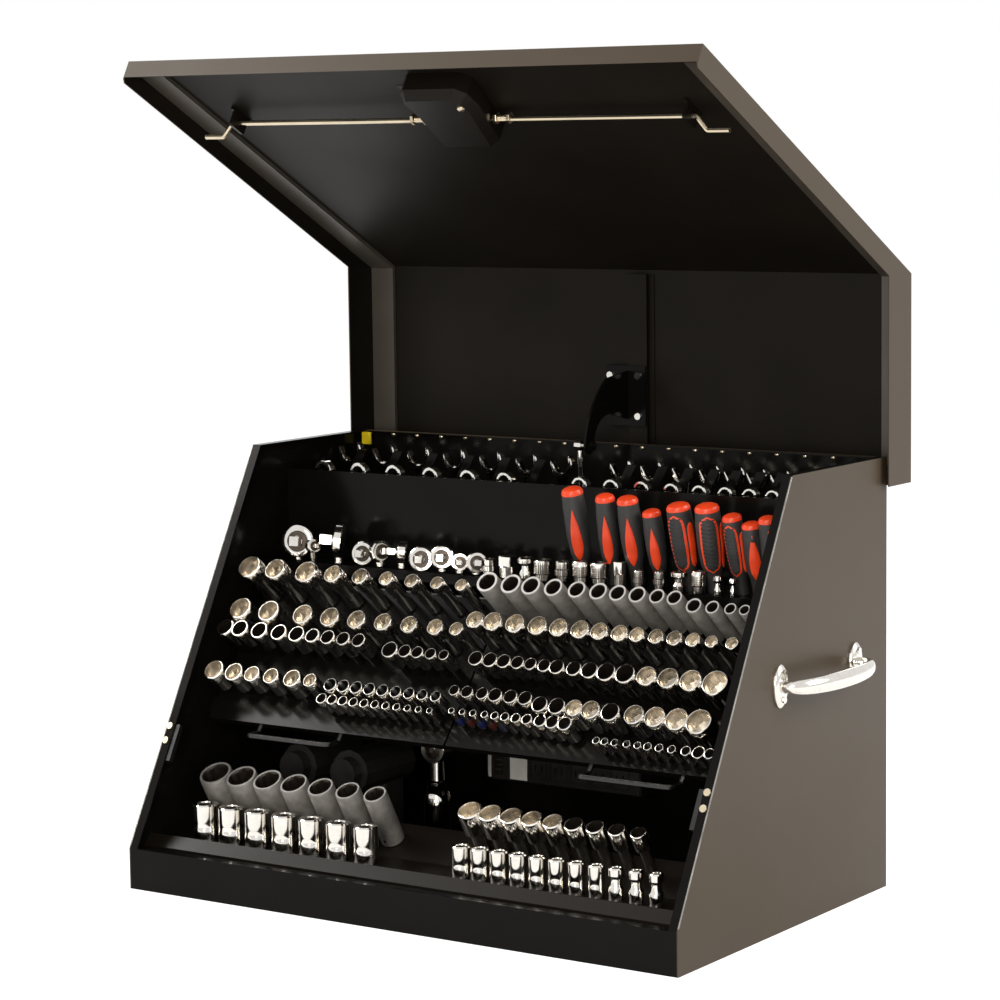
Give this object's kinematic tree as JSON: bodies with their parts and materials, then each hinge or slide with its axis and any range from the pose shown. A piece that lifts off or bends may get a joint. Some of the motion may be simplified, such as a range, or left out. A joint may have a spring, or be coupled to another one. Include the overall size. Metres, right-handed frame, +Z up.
{
  "type": "socket organizer chest",
  "caption": "Sloped steel socket organizer chest with a lift-up lid on a gas strut, wrench racks, a tool shelf and swing-up socket trays filled with sockets.",
  "frame": {"origin": "middle of the underside of the chest, on the plane it rests on", "axes": "+X to the chest's right as seen from the front, +Y to its back, +Z up"},
  "size_m": [0.854, 0.5202, 0.9788],
  "materials": {
    "chest_paint": "powder coat, slightly textured, semi-gloss",
    "chrome": "polished chrome plating",
    "zinc_steel": "zinc-plated steel",
    "impact_steel": "grey phosphated impact steel",
    "grip_plastic": "black grips with orange insets",
    "black_plastic": "moulded black plastic",
    "strut_black": "smooth black paint"
  },
  "bodies": {
    "chest": {"side_panel_left": "chest_paint", "side_panel_right": "chest_paint", "back_panel": "chest_paint", "floor_pan": "chest_paint", "hinge_leaf_chest": "zinc_steel", "hinge_pin": "zinc_steel", "strut_foot": "zinc_steel", "tool_shelf": "chest_paint", "wrench_rack_left": "chest_paint", "wrench_rack_right": "chest_paint", "open_wrenches": "chrome", "ring_wrenches": "chrome", "screwdriver_grips": "grip_plastic", "screwdriver_blades": "chrome", "ratchets": "chrome", "adaptors": "chrome", "tray_pivot_rod": "zinc_steel", "tray_rod_hangers": "chest_paint", "tray_rest_bar": "chest_paint", "front_tray": "chest_paint", "front_sockets": "chrome", "front_deep_sockets": "chrome", "front_impact_sockets": "impact_steel", "carry_handle_left": "chrome", "carry_handle_right": "chrome", "carry_handle_screws": "chrome", "strikers": "zinc_steel", "striker_screws": "zinc_steel", "power_strip": "black_plastic", "power_outlets": "black_plastic", "air_ratchet": "zinc_steel", "air_tools": "black_plastic"},
    "lid": {"lid_skin": "chest_paint", "lid_side_left": "chest_paint", "lid_side_right": "chest_paint", "lid_edge_strips": "chest_paint", "lid_stiffener": "chest_paint", "hinge_leaf_lid": "zinc_steel", "latch_rod_guides": "chest_paint", "latch_cover": "chest_paint", "latch_cover_screws": "zinc_steel", "latch_dish": "black_plastic", "strut_arm": "chest_paint", "strut_arm_screws": "zinc_steel"},
    "latch": {"latch_handle": "black_plastic", "latch_cam": "zinc_steel"},
    "rod_left": {"latch_rod_left": "zinc_steel"},
    "rod_right": {"latch_rod_right": "zinc_steel"},
    "strut_cylinder_body": {"strut_cylinder": "strut_black"},
    "strut_rod_body": {"strut_rod": "chrome"},
    "tray_left": {"socket_tray_left": "chest_paint", "sockets_left_large": "chrome", "sockets_left_small": "chrome", "bail_left": "zinc_steel"},
    "tray_right": {"socket_tray_right": "chest_paint", "sockets_right_impact": "impact_steel", "sockets_right_large": "chrome", "sockets_right_small": "chrome", "bail_right": "zinc_steel"}
  },
  "joints": [
    {"name": "lid_hinge", "type": "hinge", "parent": "chest", "child": "lid", "pos_m": [0, 0.24075, 0.4805], "axis": [1, 0, 0], "range_deg": [0, 90]},
    {"name": "latch_turn", "type": "hinge", "parent": "lid", "child": "latch", "pos_m": [0.006, -0.07959, 0.91809], "axis": [0, -0.4782, -0.8783], "range_deg": [0, 70]},
    {"name": "rod_right_slide", "type": "slide", "parent": "lid", "child": "rod_right", "axis": [1, 0, 0], "range_m": [0, 0.014]},
    {"name": "rod_left_slide", "type": "slide", "parent": "lid", "child": "rod_left", "axis": [-1, 0, 0], "range_m": [0, 0.014]},
    {"name": "strut_pivot", "type": "hinge", "parent": "chest", "child": "strut_cylinder_body", "pos_m": [-0.006, 0.205, 0.15], "axis": [1, 0, 0], "range_deg": [-5.08, 0]},
    {"name": "strut_slide", "type": "slide", "parent": "strut_cylinder_body", "child": "strut_rod_body", "axis": [0, -0.0691, 0.9976], "range_m": [-0.0921, 0]},
    {"name": "tray_left_hinge", "type": "hinge", "parent": "chest", "child": "tray_left", "pos_m": [0, 0.03047, 0.33811], "axis": [1, 0, 0], "range_deg": [-10, 0]},
    {"name": "tray_right_hinge", "type": "hinge", "parent": "chest", "child": "tray_right", "pos_m": [0, 0.03047, 0.33811], "axis": [1, 0, 0], "range_deg": [-10, 0]}
  ],
  "couplings": [
    {"joint": "rod_right_slide", "follows": "latch_turn", "m_per_rad": 0.011459},
    {"joint": "rod_left_slide", "follows": "latch_turn", "m_per_rad": 0.011459},
    {"joint": "strut_pivot", "follows": "lid_hinge", "ratio": -0.056406},
    {"joint": "strut_slide", "follows": "lid_hinge", "m_per_rad": -0.058609}
  ]
}
